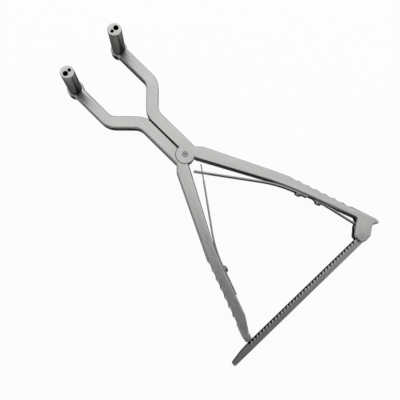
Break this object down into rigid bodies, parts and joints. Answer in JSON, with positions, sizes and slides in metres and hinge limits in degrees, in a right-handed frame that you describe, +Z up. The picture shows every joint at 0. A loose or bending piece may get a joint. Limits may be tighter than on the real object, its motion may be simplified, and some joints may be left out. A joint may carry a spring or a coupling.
{
  "type": "surgical spreading retractor",
  "caption": "Two-arm surgical spreader with upright pin guides on its jaws, spring-loaded handles and a hinged toothed bar that holds them.",
  "frame": {"origin": "on the pivot axis, at the underside on which the instrument lies", "axes": "+Y from the pivot to the jaws, -Y to the handles, +Z up the pin guides, +X towards the handle that carries the hinged bar"},
  "size_m": [0.1412, 0.2254, 0.0385],
  "materials": {
    "arm_steel": "satin stainless steel with fine grain",
    "bar_steel": "satin stainless steel",
    "guide_steel": "fine-turned stainless steel, bright end faces",
    "pin_steel": "ground stainless steel",
    "spring_steel": "tempered stainless spring steel, satin",
    "screw_steel": "turned stainless steel"
  },
  "bodies": {
    "left_side": {"left_arm": "arm_steel", "left_pin_guide": "guide_steel", "left_handle_spring": "spring_steel", "left_spring_screw": "screw_steel", "pivot_pin": "pin_steel"},
    "right_side": {"right_arm": "arm_steel", "right_pin_guide": "guide_steel", "right_handle_spring": "spring_steel", "right_spring_screw": "screw_steel", "ratchet_spring": "spring_steel", "ratchet_spring_screw": "screw_steel", "hinge_pin": "pin_steel"},
    "ratchet": {"ratchet_bar": "bar_steel"}
  },
  "joints": [
    {"name": "jaw_spread", "type": "hinge", "parent": "left_side", "child": "right_side", "pos_m": [0, 0, 0.00425], "axis": [0, 0, -1], "range_deg": [0, 26], "stiffness_Nm_per_rad": 1, "springref_deg": -2.86, "deforming": ["left_handle_spring", "right_handle_spring"]},
    {"name": "ratchet_swing", "type": "hinge", "parent": "right_side", "child": "ratchet", "pos_m": [0.05007, -0.1236, 0.00425], "axis": [0, 0, -1], "range_deg": [-13, 0]}
  ],
  "couplings": [
    {"joint": "ratchet_swing", "follows": "jaw_spread", "ratio": -0.473}
  ]
}
